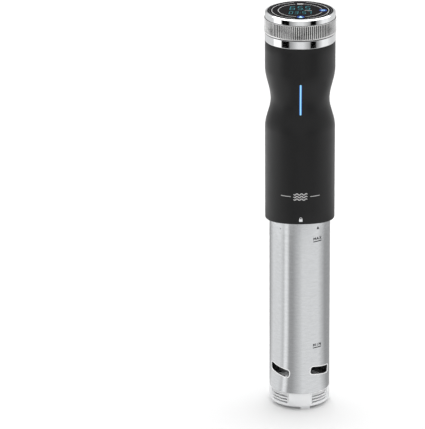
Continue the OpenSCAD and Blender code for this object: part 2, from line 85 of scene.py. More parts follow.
class Wire:
    """An output socket of a shader node, whose arithmetic adds Math nodes."""

    def __init__(self, shader: "Shader", node: bpy.types.Node, output: Union[int, str] = 0) -> None:
        """Wraps one output of a node."""
        self.shader = shader
        self.node = node
        self.socket = node.outputs[output]

    def output(self, which: Union[int, str]) -> "Wire":
        """Another output of the same node, by name or number."""
        return Wire(self.shader, self.node, which)

    def math(self, operation: str, *others: Union["Wire", Number], first: bool = True) -> "Wire":
        """Adds a Math node.

        Args:
            operation: the Math node's operation.
            others: the other operands.
            first: whether this value is the first operand.

        Returns:
            The node's result.
        """
        operands = (self, *others) if first else (*others, self)
        return self.shader.node("ShaderNodeMath", {"operation": operation}, dict(enumerate(operands)))

    def __add__(self, other: Union["Wire", Number]) -> "Wire":
        """This plus other."""
        return self.math("ADD", other)

    def __radd__(self, other: Number) -> "Wire":
        """Other plus this."""
        return self.math("ADD", other, first=False)

    def __sub__(self, other: Union["Wire", Number]) -> "Wire":
        """This minus other."""
        return self.math("SUBTRACT", other)

    def __rsub__(self, other: Number) -> "Wire":
        """Other minus this."""
        return self.math("SUBTRACT", other, first=False)

    def __mul__(self, other: Union["Wire", Number]) -> "Wire":
        """This times other."""
        return self.math("MULTIPLY", other)

    def __rmul__(self, other: Number) -> "Wire":
        """Other times this."""
        return self.math("MULTIPLY", other, first=False)

    def __truediv__(self, other: Union["Wire", Number]) -> "Wire":
        """This divided by other."""
        return self.math("DIVIDE", other)

    def between(self, low: float, high: float) -> "Wire":
        """Runs from 0 at low to 1 at high and stays there, eased at both ends."""
        settings = {"interpolation_type": "SMOOTHSTEP"}
        return self.shader.node("ShaderNodeMapRange", settings,
                                {"Value": self, "From Min": low, "From Max": high})


class Shader:
    """Builds one node material."""

    def __init__(self, name: str, world: bool = False) -> None:
        """Starts an empty material, or an empty world, of that name."""
        self.material = bpy.data.worlds.new(name) if world else bpy.data.materials.new(name)
        self.material.use_nodes = True
        self.tree = self.material.node_tree
        self.tree.nodes.clear()

    def node(self, kind: str, settings: Optional[dict] = None, inputs: Optional[dict] = None
             ) -> Optional[Wire]:
        """Adds a node.

        Args:
            kind: the node's type.
            settings: its properties, and under "stops" a ramp's (position, colour) pairs.
            inputs: by socket name or number, a wire to link or a value to set.

        Returns:
            The node's first output, or None for a node that has no output.
        """
        node = self.tree.nodes.new(kind)
        for key, value in (settings or {}).items():
            if key == "stops":
                self._set_stops(node.color_ramp, value)
            else:
                setattr(node, key, value)
        for key, value in (inputs or {}).items():
            if isinstance(value, Wire):
                self.tree.links.new(value.socket, node.inputs[key])
            else:
                node.inputs[key].default_value = value
        return Wire(self, node) if len(node.outputs) else None

    @staticmethod
    def _set_stops(ramp: bpy.types.ColorRamp, stops: Sequence[tuple[float, Number]]) -> None:
        """Gives a colour ramp its stops, from grey levels or colours."""
        while len(ramp.elements) < len(stops):
            ramp.elements.new(1.0)
        for element, (position, value) in zip(ramp.elements, stops):
            element.position = position
            colour = (value, value, value) if isinstance(value, (int, float)) else value
            element.color = (*colour, 1.0)

    def place(self) -> Wire:
        """Object coordinates, in metres."""
        return self.node("ShaderNodeTexCoord").output("Object")

    def ramp(self, factor: Wire, stops: Sequence[tuple[float, Union[Number, Colour]]]) -> Wire:
        """The colour or grey level at a factor between the stops."""
        return self.node("ShaderNodeValToRGB", {"stops": stops}, {0: factor})

    def axes(self) -> tuple[Wire, Wire, Wire]:
        """Object coordinates as three values."""
        split = self.node("ShaderNodeSeparateXYZ", inputs={0: self.place()})
        return split.output("X"), split.output("Y"), split.output("Z")

    def noise(self, scale: float, detail: float = 3.0, vector: Optional[Wire] = None) -> Wire:
        """Noise between 0 and 1, with scale repeats to the metre unless vector is given."""
        inputs = {"Vector": vector or self.place(), "Scale": scale, "Detail": detail}
        return self.node("ShaderNodeTexNoise", {"noise_dimensions": "3D"}, inputs)

    def vector(self, x: Union[Wire, Number], y: Union[Wire, Number], z: Union[Wire, Number]) -> Wire:
        """A vector from three values."""
        return self.node("ShaderNodeCombineXYZ", inputs={0: x, 1: y, 2: z})

    def mix(self, factor: Union[Wire, float], low: Union[Wire, Colour], high: Union[Wire, Colour]) -> Wire:
        """A colour between low and high."""
        def colour(c: Union[Wire, Colour]) -> Union[Wire, tuple]:
            return c if isinstance(c, Wire) else (*c, 1.0)
        return self.node("ShaderNodeMix", {"data_type": "RGBA"},
                         {0: factor, 6: colour(low), 7: colour(high)}).output(2)

    def bump(self, height: Wire, distance: float, strength: float = 1.0) -> Wire:
        """A normal from a height of 0 to 1 over distance metres."""
        return self.node("ShaderNodeBump", None,
                         {"Height": height, "Distance": distance, "Strength": strength})

    def principled(self, **inputs: Union[Wire, Number, tuple]) -> bpy.types.Material:
        """Ends the material with a Principled shader whose inputs are given with _ for a space."""
        named = {key.replace("_", " "): value for key, value in inputs.items()}
        named = {key: (*value, 1.0) if isinstance(value, tuple) and len(value) == 3 and "Color" in key
                 else value for key, value in named.items()}
        shader = self.node("ShaderNodeBsdfPrincipled", inputs=named)
        self.node("ShaderNodeOutputMaterial", inputs={"Surface": shader})
        return self.material


# ---------------------------------------------------------------- meshes

def rad(degrees: float) -> float:
    """Degrees as radians."""
    return math.radians(degrees)


def around(columns: int) -> np.ndarray:
    """Evenly spaced bearings of a whole turn, whose seam is at the back."""
    return -np.pi + 2 * np.pi * np.arange(columns) / columns


def polar(radius: np.ndarray, bearing: np.ndarray, height: np.ndarray) -> np.ndarray:
    """Points at (radius sin bearing, -radius cos bearing, height), for arrays that broadcast."""
    return np.stack(np.broadcast_arrays(radius * np.sin(bearing), -radius * np.cos(bearing), height), -1)


def rounded(corners: Sequence[tuple[float, float, float]], steps: int = 5) -> np.ndarray:
    """A closed outline whose corners are rounded.

    Each corner is (radius, height, reach). It becomes the curve (1-t)^2 A + 2t(1-t) C + t^2 B, where
    C is the corner and A and B lie at its reach along the two edges that meet there.

    Args:
        corners: the corners in order round the outline.
        steps: points of a rounded corner, less one.

    Returns:
        Points of (radius, height).
    """
    points = np.array([corner[:2] for corner in corners])
    before = np.roll(points, 1, axis=0) - points
    after = np.roll(points, -1, axis=0) - points
    outline = []
    for point, back, ahead, reach in zip(points, before, after, [corner[2] for corner in corners]):
        if reach == 0:
            outline.append(point[None, :])
            continue
        t = np.linspace(0, 1, steps + 1)[:, None]
        start = point + back * reach / np.linalg.norm(back)
        end = point + ahead * reach / np.linalg.norm(ahead)
        outline.append((1 - t) ** 2 * start + 2 * t * (1 - t) * point + t ** 2 * end)
    return np.vstack(outline)


def perimeter(sheet: np.ndarray) -> np.ndarray:
    """The border points of a grid, once round."""
    return np.concatenate([sheet[0, :], sheet[1:, -1], sheet[-1, -2::-1], sheet[-2:0:-1, 0]])


@dataclass(frozen=True)
class Cutout:
    """A round-cornered window in a turned wall. Its sizes lie in the plane that touches the wall."""

    bearing: float
    height: float
    half_width: float
    half_height: float
    corner: float
    tilt: float = 0.0

    def edge(self, bearings: np.ndarray, heights: np.ndarray, radius: Callable, grow: float
             ) -> tuple[np.ndarray, np.ndarray]:
        """Moves points onto the window's outline.

        A point of the tangent plane is p = (R sin(bearing - middle), height - middle), turned by the
        tilt. c is p held inside the window less its corners, and the result is
        c + (corner + grow) (p - c) / |p - c|.

        Args:
            bearings: the points' bearings.
            heights: the points' heights.
            radius: the wall's radius at a height.
            grow: how far outside the outline the result lies.

        Returns:
            The bearings and heights of the points on the outline.
        """
        x = radius(heights) * np.sin(bearings - self.bearing)
        y = heights - self.height
        cosine, sine = math.cos(self.tilt), math.sin(self.tilt)
        u, v = x * cosine + y * sine, y * cosine - x * sine
        inner_u = np.clip(u, self.corner - self.half_width, self.half_width - self.corner)
        inner_v = np.clip(v, self.corner - self.half_height, self.half_height - self.corner)
        reach = (self.corner + grow) / np.maximum(np.hypot(u - inner_u, v - inner_v), 1e-9)
        u, v = inner_u + (u - inner_u) * reach, inner_v + (v - inner_v) * reach
        height = self.height + u * sine + v * cosine
        return self.bearing + np.arcsin((u * cosine - v * sine) / radius(height)), height

    def block(self, bearings: np.ndarray, heights: np.ndarray, radius: Callable, margin: float) -> tuple:
        """The rows and columns of a grid that enclose the window, as first and last numbers."""
        cosine, sine = math.cos(self.tilt), abs(math.sin(self.tilt))
        half_u = self.half_width * cosine + self.half_height * sine + margin
        half_v = self.half_height * cosine + self.half_width * sine + margin
        half_angle = math.asin(half_u / radius(self.height))
        columns = np.flatnonzero(np.abs(bearings - self.bearing) <= half_angle)
        rows = np.flatnonzero(np.abs(heights - self.height) <= half_v)
        return rows[0] - 1, rows[-1] + 1, columns[0] - 1, columns[-1] + 1

    def border(self, bearings: np.ndarray, heights: np.ndarray, radius: Callable, margin: float
               ) -> np.ndarray:
        """The border of that block, once round, as (bearing, height)."""
        low, high, left, right = self.block(bearings, heights, radius, margin)
        return perimeter(np.stack(np.meshgrid(bearings[left:right + 1], heights[low:high + 1]), -1))

    def ring(self, border: np.ndarray, radius: Callable, grow: float, depth: float) -> np.ndarray:
        """The outline as a ring of points, one for each of the border's, at a depth under the wall."""
        bearing, height = self.edge(border[:, 0], border[:, 1], radius, grow)
        return polar(radius(height) - depth, bearing, height)


class Skin:
    """Points and faces gathered for one piece."""

    def __init__(self) -> None:
        """Starts with nothing."""
        self.points: list[np.ndarray] = []
        self.faces: list[np.ndarray] = []
        self.count = 0

    def grid(self, points: np.ndarray, across: bool = False, along: bool = False,
             keep: Optional[np.ndarray] = None) -> "Skin":
        """Adds a surface of four-sided faces over rows x columns of points.

        Args:
            points: an array of rows x columns x 3.
            across: whether the last column joins the first.
            along: whether the last row joins the first.
            keep: which faces are made, or all of them.

        Returns:
            This skin.
        """
        rows, columns = points.shape[:2]
        index = self.count + np.arange(rows * columns).reshape(rows, columns)
        index = np.hstack([index, index[:, :1]]) if across else index
        index = np.vstack([index, index[:1]]) if along else index
        quads = np.stack([index[:-1, :-1], index[:-1, 1:], index[1:, 1:], index[1:, :-1]], axis=-1)
        self.faces.append(quads.reshape(-1, 4) if keep is None else quads[keep])
        self.points.append(points.reshape(-1, 3))
        self.count += rows * columns
        return self

    def turned(self, outline: np.ndarray, bearings: np.ndarray, closed: bool = True) -> "Skin":
        """Adds an outline of (radius, height) turned about the axis."""
        wall = polar(outline[:, :1], bearings[None, :], outline[:, 1:])
        return self.grid(wall, across=True, along=closed)

    def windowed(self, bearings: np.ndarray, heights: np.ndarray, radius: Callable,
                 cutouts: Sequence[Cutout], rings: Sequence[tuple[float, float]], inset: float = 0.0,
                 margin: float = 1.2 * MM) -> "Skin":
        """Adds a turned wall with windows in it.

        The wall is the grid (radius(z) - inset, bearing, z). Each window takes a block of its faces
        out, and rings of faces join the block's border to the window's outline: three rings between
        them, then one for each entry of rings.

        Args:
            bearings: the columns' bearings.
            heights: the rows' heights.
            radius: the wall's radius at a height.
            cutouts: the windows.
            rings: for each ring, how far outside the outline it lies and how deep under the wall.
            inset: how far inside that radius the wall stands.
            margin: least distance from a window to its block's border.

        Returns:
            This skin.
        """
        keep = np.ones((len(heights) - 1, len(bearings)), dtype=bool)
        for cutout in cutouts:
            low, high, left, right = cutout.block(bearings, heights, radius, margin)
            keep[low:high, left:right] = False
            border = cutout.border(bearings, heights, radius, margin)
            first = np.stack(cutout.edge(border[:, 0], border[:, 1], radius, rings[0][0]), -1)
            loops = [border + (first - border) * share for share in (0.0, 0.35, 0.7)]
            rows = [polar(radius(loop[:, 1]) - inset, loop[:, 0], loop[:, 1]) for loop in loops]
            rows += [cutout.ring(border, radius, grow, inset + depth) for grow, depth in rings]
            self.grid(np.stack(rows), across=True)
        wall = polar(radius(heights)[:, None] - inset, bearings[None, :], heights[:, None])
        return self.grid(wall, across=True, keep=keep)

    def slab(self, sheet: np.ndarray, lay: Callable, high: float = PRINTED) -> "Skin":
        """Adds a thin closed plate over a flat grid, with its underside at SUNK.

        Args:
            sheet: rows x columns x 2 of flat places.
            lay: puts flat places at a lift onto the surface that carries the plate.
            high: lift of the top.

        Returns:
            This skin.
        """
        border = perimeter(sheet)
        self.grid(lay(sheet, high))
        self.grid(lay(sheet[:, ::-1], SUNK))
        return self.grid(np.stack([lay(border, SUNK), lay(border, high)]), across=True)

    def mesh(self, name: str) -> bpy.types.Mesh:
        """The gathered faces as a mesh."""
        mesh = bpy.data.meshes.new(name)
        mesh.from_pydata(np.vstack(self.points).tolist(), [], np.vstack(self.faces).tolist())
        return mesh

    def piece(self, name: str, look: "Look", body: str, stands_for: Sequence[str] = (),
              sharp: float = 35.0) -> bpy.types.Object:
        """Makes the gathered faces an object that rides on a body.

        Args:
            name: the piece's name.
            look: its finish.
            body: the body that it rides on.
            stands_for: the frame's nodes that it replaces, which are hidden.
            sharp: the angle past which an edge looks sharp, in degrees.

        Returns:
            The object.
        """
        return dress(self.mesh(name), name, look, body, stands_for, sharp)


def tidy_mesh(mesh: bpy.types.Mesh, sharp: float, distance: float = 1e-6) -> None:
    """Merges doubled points, turns every face outwards and smooths all but sharp edges."""
    shape = bmesh.new()
    shape.from_mesh(mesh)
    bmesh.ops.remove_doubles(shape, verts=shape.verts, dist=distance)
    bmesh.ops.dissolve_degenerate(shape, edges=shape.edges, dist=distance / 10)
    bmesh.ops.recalc_face_normals(shape, faces=shape.faces)
    shape.to_mesh(mesh)
    shape.free()
    mesh.shade_smooth()
    mesh.set_sharp_from_angle(angle=rad(sharp))


def put(name: str, data: bpy.types.ID) -> bpy.types.Object:
    """Makes an object of a mesh, light or camera and puts it in the scene."""
    made = bpy.data.objects.new(name, data)
    bpy.context.scene.collection.objects.link(made)
    return made


def dress(mesh: bpy.types.Mesh, name: str, look: "Look", body: str, stands_for: Sequence[str],
          sharp: float) -> bpy.types.Object:
    """Tidies a mesh and makes it a piece of the object; the arguments are those of Skin.piece."""
    tidy_mesh(mesh, sharp)
    mesh.materials.clear()
    mesh.materials.append(look.look)
    piece = put(name, mesh)
    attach(piece, body)
    if stands_for:
        look.slot
        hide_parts(*stands_for)
    LOG.info("%s: %d faces on %s", name, len(mesh.polygons), body)
    return piece


def smooth_copy(node: str, look: "Look", sharp: float = 30.0) -> bpy.types.Object:
    """A smooth-shaded copy of a frame's node, which it replaces."""
    source = frame["nodes"][node]
    return dress(source.data.copy(), node + "_smooth", look, source["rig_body"], [node], sharp)


def stroke(points: np.ndarray, half: Union[float, np.ndarray]) -> np.ndarray:
    """A line of some width along flat points.

    Its two edges are p + h n and p - h n, where n is square to the line through p's neighbours.

    Args:
        points: n x 2 places along the line.
        half: half its width, or one for each place.

    Returns:
        A sheet of n x 2 x 2.
    """
    along = np.gradient(points, axis=0)
    along /= np.linalg.norm(along, axis=1)[:, None]
    offset = np.stack([along[:, 1], -along[:, 0]], -1) * np.broadcast_to(half, len(points))[:, None]
    return np.stack([points + offset, points - offset], axis=1)


def arc(centre: tuple[float, float], radius: float, start: float, end: float,
        count: int = 24) -> np.ndarray:
    """Flat places along an arc, from and to angles in degrees, anticlockwise from the right."""
    angle = np.radians(np.linspace(start, end, count))
    return np.array(centre) + radius * np.stack([np.cos(angle), np.sin(angle)], -1)


def oblong(centre: tuple[float, float], width: float, height: float, corner: float) -> np.ndarray:
    """A sheet over a round-cornered rectangle, as lines across it whose length follows the corners."""
    half_w, half_h = width / 2, height / 2
    turn = np.radians(np.linspace(0, 90, 7))
    lower = half_h - corner + corner * np.cos(turn)
    y = np.concatenate([-lower, lower[::-1]])
    half = half_w - corner + corner * np.concatenate([np.sin(turn), np.sin(turn[::-1])])
    side = np.array([-1.0, -0.33, 0.33, 1.0])
    x = half[:, None] * side[None, :]
    return np.stack([x + centre[0], np.broadcast_to(y[:, None], x.shape) + centre[1]], -1)


# ---------------------------------------------------------------- finishes

@dataclass(frozen=True)
class Plastic:
    """Moulded plastic or rubber: slightly clouded colour, fine grain, and a coat where it is glossy."""

    colour: Colour
    roughness: float = 0.45
    grain: float = 0.015
    coat: float = 0.0
    specular: float = 0.5
    clouding: float = 0.12
    glow_through: float = 0.0

    def material(self, name: str) -> bpy.types.Material:
        """Makes the material.

        The colour runs from its darker self to itself over broad noise, the roughness varies by 0.05
        either way, and fine noise raises the surface by the grain, in millimetres.
        """
        shader = Shader(name)
        cloud = shader.noise(90.0)
        darker = tuple(part * (1 - self.clouding) for part in self.colour)
        fine = shader.noise(2200.0, 2.0)
        return shader.principled(
            Base_Color=shader.mix(cloud, darker, self.colour),
            Roughness=self.roughness + 0.1 * (cloud - 0.5),
            Coat_Weight=self.coat, Coat_Roughness=0.08, Specular_IOR_Level=self.specular,
            Subsurface_Weight=self.glow_through, Subsurface_Scale=4 * MM, Subsurface_Radius=(1.0, 1.0, 1.0),
            Normal=shader.bump(fine, self.grain * MM))


@dataclass(frozen=True)
class Metal:
    """Bare metal, with streaks that run round the axis where brushed is above 0."""

    colour: Colour
    roughness: float = 0.25
    brushed: float = 0.0
    spread: float = 0.05

    def material(self, name: str) -> bpy.types.Material:
        """Makes the material.

        Noise that is stretched round the axis, or even noise where the metal isn't brushed, moves
        the roughness by the spread and the colour by a twentieth, and raises fine lines.
        """
        shader = Shader(name)
        x, y, z = shader.axes()
        stretch = 170.0 if self.brushed else 900.0
        across = 800.0 if self.brushed else 900.0
        streaks = shader.noise(1.0, 4.0, shader.vector(x * stretch, y * stretch, z * across))
        duller = tuple(part * (0.92 - 0.2 * self.brushed) for part in self.colour)
        return shader.principled(
            Base_Color=shader.mix(streaks, duller, self.colour), Metallic=1.0,
            Roughness=self.roughness + 2 * self.spread * (streaks - 0.5),
            Normal=shader.bump(streaks, max(self.brushed, 0.02) * 0.02 * MM))


@dataclass(frozen=True)
class Knurled:
    """Satin metal with painted shade in its grooves: their colour is darkened to stand in for the shade
    that falls there.
    """

    colour: Colour
    roughness: float = 0.22
    outer: float = 34.0
    depth: float = 0.55

    def material(self, name: str) -> bpy.types.Material:
        """Makes the material.

        The distance from the axis, hypot(x, y), runs from the bottom of the grooves to the ribs' tops, and
        that share mixes nearly black metal, a painted shade for the grooves, with the ribs' own colour.
        """
        shader = Shader(name)
        x, y, _ = shader.axes()
        away = (x * x + y * y).math("SQRT")
        share = away.between((self.outer - 0.7 * self.depth) * MM, (self.outer - 0.3 * self.depth) * MM)
        cloud = shader.noise(500.0)
        # painted shade: the grooves' colour is darkened to 4 percent for the shade that falls in them
        dark = tuple(part * 0.04 for part in self.colour)
        return shader.principled(Base_Color=shader.mix(share, dark, self.colour), Metallic=1.0,
                                 Roughness=self.roughness + 0.08 * (cloud - 0.5))


@dataclass(frozen=True)
class Glow:
    """A lit mark or lamp."""

    colour: Colour
    strength: float = 1.0

    def material(self, name: str) -> bpy.types.Material:
        """Makes the material, whose light is uneven by a tenth over broad noise."""
        shader = Shader(name)
        dimmer = tuple(part * 0.9 for part in self.colour)
        light = shader.mix(shader.noise(400.0), dimmer, self.colour)
        return shader.principled(Base_Color=(0.01, 0.01, 0.01), Roughness=0.3, Specular_IOR_Level=0.2,
                                 Emission_Color=light, Emission_Strength=self.strength)


@dataclass(frozen=True)
class LampStrip:
    """The light bar's diffuser, bright along its middle and deep blue at its edge."""

    half_width: float

    def material(self, name: str) -> bpy.types.Material:
        """Makes the material: the light follows |x| / half width through a ramp of four blues."""
        shader = Shader(name)
        x, _, _ = shader.axes()
        reach = x.math("ABSOLUTE") / (self.half_width * MM)
        stops = [(0.0, (0.42, 0.86, 1.0)), (0.42, (0.20, 0.60, 1.0)), (0.66, (0.015, 0.09, 0.50)),
                 (0.95, (0.004, 0.01, 0.06))]
        light = shader.ramp(reach, stops)
        return shader.principled(Base_Color=(0.01, 0.01, 0.02), Roughness=0.25, Emission_Color=light,
                                 Emission_Strength=1.0)


@dataclass(frozen=True)
class Board:
    """A circuit board: green varnish with paler copper runs."""

    colour: Colour = (0.012, 0.13, 0.05)
    runs_colour: Colour = (0.03, 0.24, 0.10)

    def material(self, name: str) -> bpy.types.Material:
        """Makes the material: cells of Voronoi noise, eased to a mask, lay paler runs on the green."""
        shader = Shader(name)
        cells = shader.node("ShaderNodeTexVoronoi", {"distance": "MANHATTAN", "feature": "F1"},
                            {"Vector": shader.place(), "Scale": 450.0})
        runs = cells.between(0.25, 0.35)
        return shader.principled(Base_Color=shader.mix(runs, self.colour, self.runs_colour),
                                 Roughness=0.35)


class Look(Enum):
    """The finishes. A finish that bears a slot's name of the record is used for that slot."""

    SOFT_TOUCH = Plastic((0.0075, 0.0076, 0.008), 0.38, 0.02, specular=0.3)
    POLISHED_RING = Metal((0.86, 0.87, 0.88), 0.06, spread=0.02)
    KNURLED_RING = Knurled((0.80, 0.80, 0.80))
    BLACK_PLASTIC = Plastic((0.014, 0.014, 0.015), 0.42)
    DISPLAY_GLASS = Plastic((0.006, 0.006, 0.007), 0.10, 0.0005, specular=0.25, clouding=0.3)
    LIGHT_GUIDE = LampStrip(1.35)
    BRUSHED_TUBE = Metal((0.80, 0.815, 0.83), 0.13, brushed=0.6, spread=0.04)
    PLAIN_STEEL = Metal((0.62, 0.63, 0.64), 0.30)
    CLEAR_GREY = Plastic((0.79, 0.80, 0.81), 0.30, 0.01, coat=0.2, clouding=0.04, glow_through=0.6)
    SOFT_CLEAR = Plastic((0.79, 0.80, 0.81), 0.42, 0.01, clouding=0.04, glow_through=0.5)
    RUBBER = Plastic((0.022, 0.022, 0.023), 0.68, 0.03)
    CIRCUIT_BOARD = Board()
    GREY_PLASTIC = Plastic((0.16, 0.165, 0.17), 0.45, 0.02)
    PALE_PLASTIC = Plastic((0.62, 0.61, 0.56), 0.45, 0.02)
    BLUE_PLASTIC = Plastic((0.02, 0.10, 0.35), 0.35, 0.01)
    ALUMINIUM = Metal((0.78, 0.79, 0.80), 0.36)
    BRONZE = Metal((0.60, 0.38, 0.17), 0.32)
    WINDINGS = Metal((0.55, 0.22, 0.09), 0.38)
    HEATER_STEEL = Metal((0.50, 0.50, 0.49), 0.34)
    PALE_PRINT = Plastic((0.50, 0.50, 0.50), 0.50, 0.001)
    WHITE_PRINT = Plastic((0.72, 0.73, 0.74), 0.50, 0.002)
    FAINT_PRINT = Plastic((0.10, 0.105, 0.11), 0.45, 0.0015)
    ETCHED = Plastic((0.015, 0.016, 0.018), 0.60, 0.002, specular=0.2)
    # painted highlight: a near-white ring stands in for the light on the slots' edges
    CUT_EDGE = Plastic((0.93, 0.93, 0.93), 0.30, 0.001, clouding=0.03)
    DIGIT_LIGHT = Glow((0.02, 0.23, 0.28), 1.0)
    KEY_LIGHT = Glow((0.003, 0.06, 0.42), 1.0)
    ICON_LIGHT = Glow((0.50, 0.95, 1.0), 1.35)
    PALE_FLOOR = Plastic((0.66, 0.66, 0.66), 0.9, 0.0, specular=0.0, clouding=0.0)

    @property
    def slot(self) -> str:
        """The record's slot of that name."""
        return self.name.lower()

    @property
    def look(self) -> bpy.types.Material:
        """The finish's material, made the first time that it is asked for."""
        name = self.slot + "_finish"
        return bpy.data.materials.get(name) or self.value.material(name)


# ---------------------------------------------------------------- sub-assemblies

@dataclass
class Casing:
    """The soft-touch shell with its waist, its printed marks and the recess of the light bar."""

    radius: float = 33.4 * MM
    waist: float = 28.1 * MM
    waist_height: float = 311 * MM
    flank_up: float = 32 * MM
    flank_down: float = 28 * MM
    wall: float = 2.4 * MM
    rim: float = 0.5 * MM
    rim_arch: float = 3.2 * MM
    arch_fades: float = 230 * MM
    columns: int = 288
    recess: float = 1.1 * MM

    def radius_at(self, height: np.ndarray) -> np.ndarray:
        """The outer radius at a height.

        It is waist + (radius - waist) (1 - cos(pi t)) / 2, where t runs from 0 at the waist to 1 at
        the end of the flank and stays 1.
        """
        rise = np.asarray(height) - self.waist_height
        t = np.clip(np.where(rise > 0, rise / self.flank_up, -rise / self.flank_down), 0, 1)
        return self.waist + (self.radius - self.waist) * (1 - np.cos(np.pi * t)) / 2

    def lay(self, flat: np.ndarray, lift: float) -> np.ndarray:
        """Wraps flat places (distance round from the front, height) onto the casing."""
        radius = self.radius_at(flat[..., 1])
        return polar(radius + lift, flat[..., 0] / radius, flat[..., 1])

    def arched(self, points: np.ndarray, low: float) -> np.ndarray:
        """Bends the rim: it is highest at the front and the back, and lowest at both sides.

        The rim follows an arc of radius r = (R^2 + a^2) / (2 a) for the casing's radius R and the
        arch a, so the lift at a place x is a - r + sqrt(r^2 - x^2). It fades to 0 at arch_fades.
        """
        across, height = points[..., 0], points[..., 2]
        r = (self.radius ** 2 + self.rim_arch ** 2) / (2 * self.rim_arch)
        lift = self.rim_arch - r + np.sqrt(r ** 2 - across ** 2)
        share = np.clip((self.arch_fades - height) / (self.arch_fades - low), 0, 1)
        bent = points.copy()
        bent[..., 2] += lift * share
        return bent

    def build(self) -> None:
        """Makes the shell, the light bar and the marks."""
        low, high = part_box("body_shell")
        lamp_low, lamp_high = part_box("light_bar")
        self.bar = Cutout(0.0, (lamp_low.z + lamp_high.z) / 2, 1.35 * MM,
                          (lamp_high.z - lamp_low.z) / 2 + 0.05 * MM, 1.35 * MM)
        flank_ends = (self.waist_height - self.flank_down, self.waist_height + self.flank_up)
        straight = np.linspace(low.z + self.rim, flank_ends[0], 8)
        upper = np.linspace(flank_ends[1], high.z - 0.2 * MM, 4)
        heights = np.concatenate([straight[:-1], np.linspace(*flank_ends, 61), upper[1:]])
        bearings = around(self.columns)
        skin = Skin()
        lip = 0.12 * MM
        skin.windowed(bearings, heights, self.radius_at, [self.bar],
                      [(lip, 0.0), (0.0, lip), (0.0, self.recess), (-self.bar.corner, self.recess)])
        t = np.linspace(0, np.pi / 2, 6)
        inner = heights[::3]
        outline = np.concatenate([
            np.stack([self.radius - self.rim * (1 - np.cos(t)), low.z + self.rim * (1 - np.sin(t))], -1),
            np.stack([self.radius_at(inner) - self.wall, np.maximum(inner, low.z + 0.1 * MM)], -1),
            [[self.radius - self.wall, high.z], [self.radius - lip, high.z], [self.radius, heights[-1]]]])
        skin.turned(outline, bearings, closed=False)
        skin.points = [self.arched(points, low.z) for points in skin.points]
        skin.piece("casing", Look.SOFT_TOUCH, "main", ["body_shell"])
        self._light_bar(bearings, heights)
        self._padlock(low.z + self.rim_arch + 2.7 * MM)
        self._waves(222.5 * MM)

    def _light_bar(self, bearings: np.ndarray, heights: np.ndarray) -> None:
        """A domed strip that fills the recess: rings of its outline, each smaller and less deep."""
        border = self.bar.border(bearings, heights, self.radius_at, MM)
        rings = [(-1.35, 1.05), (-0.04, 1.05), (-0.04, 0.35), (-0.12, 0.22), (-0.4, 0.12), (-0.9, 0.06),
                 (-1.35, 0.04)]
        rows = [self.bar.ring(border, self.radius_at, grow * MM, depth * MM) for grow, depth in rings]
        strip = Skin().grid(np.stack(rows), across=True)
        strip.piece("light_strip", Look.LIGHT_GUIDE, "main", ["light_bar"])

    def _padlock(self, base: float) -> None:
        """A small printed padlock above the rim: a round-cornered body under an open bow."""
        skin = Skin()
        middle = 0.4 * MM
        skin.slab(oblong((middle, base + 1.3 * MM), 3.3 * MM, 2.6 * MM, 0.4 * MM), self.lay)
        side, foot = 1.05 * MM, base + 2.5 * MM
        bow = np.concatenate([[[middle + side, foot]], arc((middle, base + 3.1 * MM), side, 0, 180, 14),
                              [[middle - side, foot]]])
        skin.slab(stroke(bow, 0.24 * MM), self.lay)
        skin.piece("padlock_mark", Look.WHITE_PRINT, "main")

    def _waves(self, middle: float) -> None:
        """Three stacked wavy lines between two thin level ones, as a plain sign for moving water."""
        skin = Skin()
        x = np.linspace(-6.5 * MM, 6.5 * MM, 49)
        for level in (-2.6, 0.0, 2.6):
            wave = 0.75 * MM * np.sin(2 * np.pi * x / (4.33 * MM))
            skin.slab(stroke(np.stack([x, middle + level * MM + wave], -1), 0.42 * MM), self.lay)
        for side in (-1, 1):
            line = np.linspace([side * 9.5 * MM, middle], [side * 19.5 * MM, middle], 16)
            skin.slab(stroke(line, 0.3 * MM), self.lay)
        skin.piece("wave_mark", Look.PALE_PRINT, "main")


